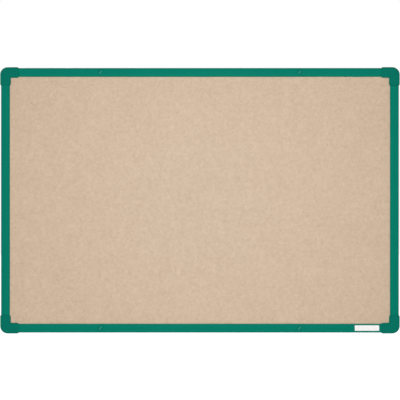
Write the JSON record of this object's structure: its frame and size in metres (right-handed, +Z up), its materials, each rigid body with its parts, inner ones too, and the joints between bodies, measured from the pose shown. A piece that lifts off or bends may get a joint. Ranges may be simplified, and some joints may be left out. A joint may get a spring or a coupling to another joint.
{
  "type": "fabric notice board",
  "caption": "Wall-hung fabric notice board: felt over softboard in a slim green frame with moulded corner pieces and snap-in caps over the wall-screw holes.",
  "frame": {"origin": "centre of the back plane, which touches the wall, halfway across the width and the height", "axes": "+X to the viewer's right, +Y into the wall, +Z up; the felt faces -Y"},
  "size_m": [0.9, 0.02, 0.6],
  "materials": {
    "frame_coat": "satin",
    "corner_plastic": "satin",
    "cap_plastic": "satin",
    "felt": "matte",
    "softboard": "matte",
    "galvanised_sheet": "satin",
    "screw_zinc": "satin",
    "label": "satin"
  },
  "bodies": {
    "board": {"felt_face": "felt", "softboard_core": "softboard", "backing_sheet": "galvanised_sheet", "rail_top": "frame_coat", "rail_bottom": "frame_coat", "rail_left": "frame_coat", "rail_right": "frame_coat", "corner_top_left": "corner_plastic", "corner_top_right": "corner_plastic", "corner_bottom_left": "corner_plastic", "corner_bottom_right": "corner_plastic", "screw_top_left": "screw_zinc", "screw_top_right": "screw_zinc", "screw_bottom_left": "screw_zinc", "screw_bottom_right": "screw_zinc", "screw_left_top": "screw_zinc", "screw_left_bottom": "screw_zinc", "screw_right_top": "screw_zinc", "screw_right_bottom": "screw_zinc"},
    "cap_top_left": {"cover_cap_top_left": "cap_plastic"},
    "cap_top_right": {"cover_cap_top_right": "cap_plastic"},
    "cap_bottom_left": {"cover_cap_bottom_left": "cap_plastic"},
    "cap_bottom_right": {"cover_cap_bottom_right": "cap_plastic"}
  },
  "joints": [
    {"name": "pull_cap_top_left", "type": "slide", "parent": "board", "child": "cap_top_left", "axis": [0, -1, 0], "range_m": [0, 0.01]},
    {"name": "pull_cap_top_right", "type": "slide", "parent": "board", "child": "cap_top_right", "axis": [0, -1, 0], "range_m": [0, 0.01]},
    {"name": "pull_cap_bottom_left", "type": "slide", "parent": "board", "child": "cap_bottom_left", "axis": [0, -1, 0], "range_m": [0, 0.01]},
    {"name": "pull_cap_bottom_right", "type": "slide", "parent": "board", "child": "cap_bottom_right", "axis": [0, -1, 0], "range_m": [0, 0.01]}
  ]
}
